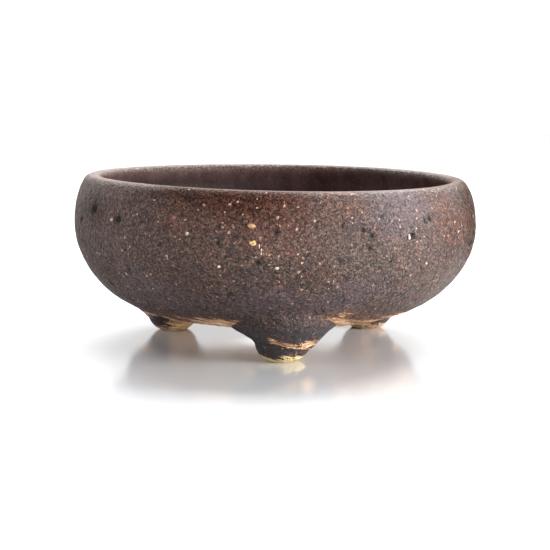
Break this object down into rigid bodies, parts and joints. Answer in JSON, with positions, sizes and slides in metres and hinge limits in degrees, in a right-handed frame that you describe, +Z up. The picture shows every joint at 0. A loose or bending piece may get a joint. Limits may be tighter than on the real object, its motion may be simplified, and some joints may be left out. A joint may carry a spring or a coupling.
{
  "type": "bonsai pot",
  "caption": "Round shallow stoneware bonsai pot with an incurved rim, on three short turned feet, with a drain hole and wire holes.",
  "frame": {"origin": "on the surface the pot stands on, under the bowl's axis", "axes": "+Z up along the bowl's axis, -Y towards the side with the front foot, +X to the right seen from that side"},
  "size_m": [0.125, 0.125, 0.0515],
  "materials": {
    "bowl_clay": "unglazed, coarse grogged stoneware with an iron-brown slip",
    "foot_clay": "unglazed stoneware, dark slip worn to bare tan clay at the tip and ledge"
  },
  "bodies": {
    "root": {"bowl": "bowl_clay", "foot_front": "foot_clay", "foot_rear_left": "foot_clay", "foot_rear_right": "foot_clay"}
  },
  "joints": []
}
